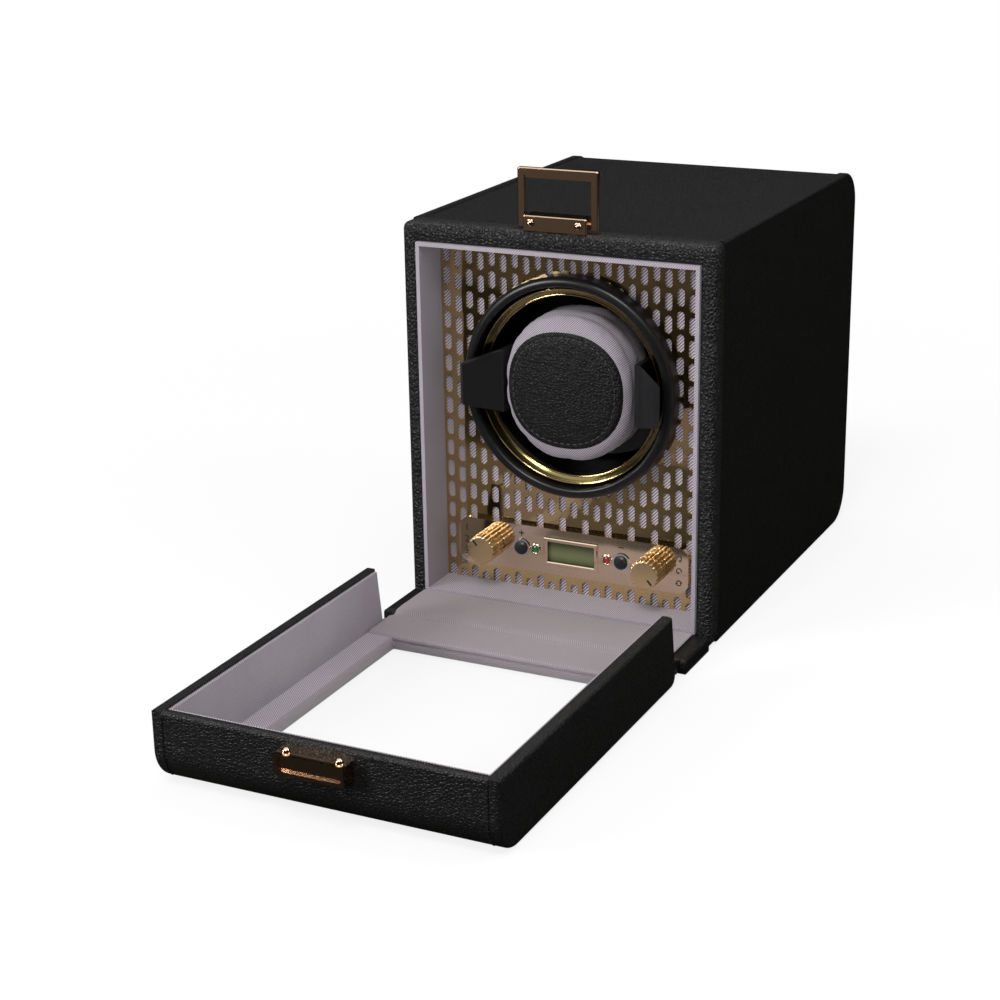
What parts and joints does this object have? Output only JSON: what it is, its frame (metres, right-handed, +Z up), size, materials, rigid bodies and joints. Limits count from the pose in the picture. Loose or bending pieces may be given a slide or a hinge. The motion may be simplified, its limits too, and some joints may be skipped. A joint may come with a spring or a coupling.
{
  "type": "watch winder box",
  "caption": "Leather-covered watch winder box with a fold-down glazed lid, a geared turning drum holding a pull-out watch pillow, and a small control panel with a display.",
  "frame": {"origin": "centre of the case's underside, on the surface it stands on", "axes": "+X to the right seen from the front, +Y to the rear (the drum faces -Y and the open lid lies towards -Y), +Z up"},
  "size_m": [0.134, 0.3775, 0.1882],
  "materials": {
    "black_leather": "pebble grain, low sheen",
    "lavender_fabric": "fine twill, matt",
    "polished_gold": "polished",
    "rose_gold": "polished",
    "bright_metal": "polished",
    "black_gloss": "semi-gloss",
    "black_plastic": "satin",
    "green_lens": "glossy tinted lens",
    "red_lens": "glossy tinted lens",
    "display_glass": "smooth, olive behind",
    "display_body": "matt",
    "clear_glass": "clear",
    "board_green": "satin",
    "wood_board": "raw board",
    "steel": "plain",
    "white_nylon": "satin",
    "bush_bronze": "plain",
    "lead_rubber": "matt"
  },
  "bodies": {
    "case": {"left_side_panel": "black_leather", "right_side_panel": "black_leather", "case_wrap": "black_leather", "front_rim": "black_leather", "hinge_ledge": "black_leather", "leather_hinge": "black_leather", "lining_top": "lavender_fabric", "lining_floor": "lavender_fabric", "lining_left": "lavender_fabric", "lining_right": "lavender_fabric", "inner_panel": "lavender_fabric", "hinge_flap": "lavender_fabric", "perforated_plate": "polished_gold", "control_panel": "rose_gold", "lcd_bezel": "rose_gold", "latch_base": "rose_gold", "latch_studs": "rose_gold", "button_rings": "bright_metal", "bezel_ring": "black_gloss", "left_rotary_switch": "black_plastic", "right_rotary_switch": "black_plastic", "push_switches": "black_plastic", "power_inlet": "black_plastic", "green_led": "green_lens", "red_led": "red_lens", "lcd_glass": "display_glass", "lcd_module": "display_body", "circuit_board": "board_green", "partition": "wood_board", "motor": "steel", "motor_screws": "steel", "shaft_bushing": "bush_bronze", "power_lead": "lead_rubber", "motor_lead": "lead_rubber"},
    "lid": {"lid_shell": "black_leather", "lid_left_wall": "black_leather", "lid_right_wall": "black_leather", "lid_window": "clear_glass", "lid_left_lining": "lavender_fabric", "lid_right_lining": "lavender_fabric", "lid_far_lining": "lavender_fabric", "lid_frame_lining": "lavender_fabric", "lid_catch": "rose_gold", "catch_studs": "rose_gold"},
    "drum": {"drum_rim": "polished_gold", "drum_cup": "black_gloss", "drum_gear": "white_nylon", "drum_shaft": "steel", "shaft_clip": "steel"},
    "pinion": {"motor_pinion": "white_nylon"},
    "pillow_cuff": {"pillow": "lavender_fabric", "pillow_patch": "black_leather", "pillow_holder": "black_plastic"},
    "bail_loop": {"bail": "rose_gold"},
    "left_dial": {"left_knob": "rose_gold"},
    "right_dial": {"right_knob": "rose_gold"},
    "plus_key": {"plus_button": "black_plastic"},
    "minus_key": {"minus_button": "black_plastic"}
  },
  "joints": [
    {"name": "lid_hinge", "type": "hinge", "parent": "case", "child": "lid", "pos_m": [0, -0.118, 0.002], "axis": [1, 0, 0], "range_deg": [-90, 0]},
    {"name": "bail_swing", "type": "hinge", "parent": "case", "child": "bail_loop", "pos_m": [0, -0.0848, 0.167], "axis": [-1, 0, 0], "range_deg": [-90, 90]},
    {"name": "drum_spin", "type": "hinge", "parent": "case", "child": "drum", "pos_m": [0, 0, 0.098], "axis": [0, 1, 0], "continuous": true},
    {"name": "pinion_spin", "type": "hinge", "parent": "case", "child": "pinion", "pos_m": [0, 0, 0.0605], "axis": [0, 1, 0], "continuous": true},
    {"name": "pillow_pull", "type": "slide", "parent": "drum", "child": "pillow_cuff", "axis": [0, -1, 0], "range_m": [0, 0.05]},
    {"name": "left_dial_turn", "type": "hinge", "parent": "case", "child": "left_dial", "pos_m": [-0.0368, 0, 0.026], "axis": [0, 1, 0], "range_deg": [-60, 60]},
    {"name": "right_dial_turn", "type": "hinge", "parent": "case", "child": "right_dial", "pos_m": [0.0368, 0, 0.026], "axis": [0, 1, 0], "range_deg": [-60, 60]},
    {"name": "plus_press", "type": "slide", "parent": "case", "child": "plus_key", "axis": [0, 1, 0], "range_m": [0, 0.001], "stiffness_N_per_m": 400, "springref_m": -0.0006},
    {"name": "minus_press", "type": "slide", "parent": "case", "child": "minus_key", "axis": [0, 1, 0], "range_m": [0, 0.001], "stiffness_N_per_m": 400, "springref_m": -0.0006}
  ],
  "couplings": [
    {"joint": "pinion_spin", "follows": "drum_spin", "ratio": -4}
  ]
}
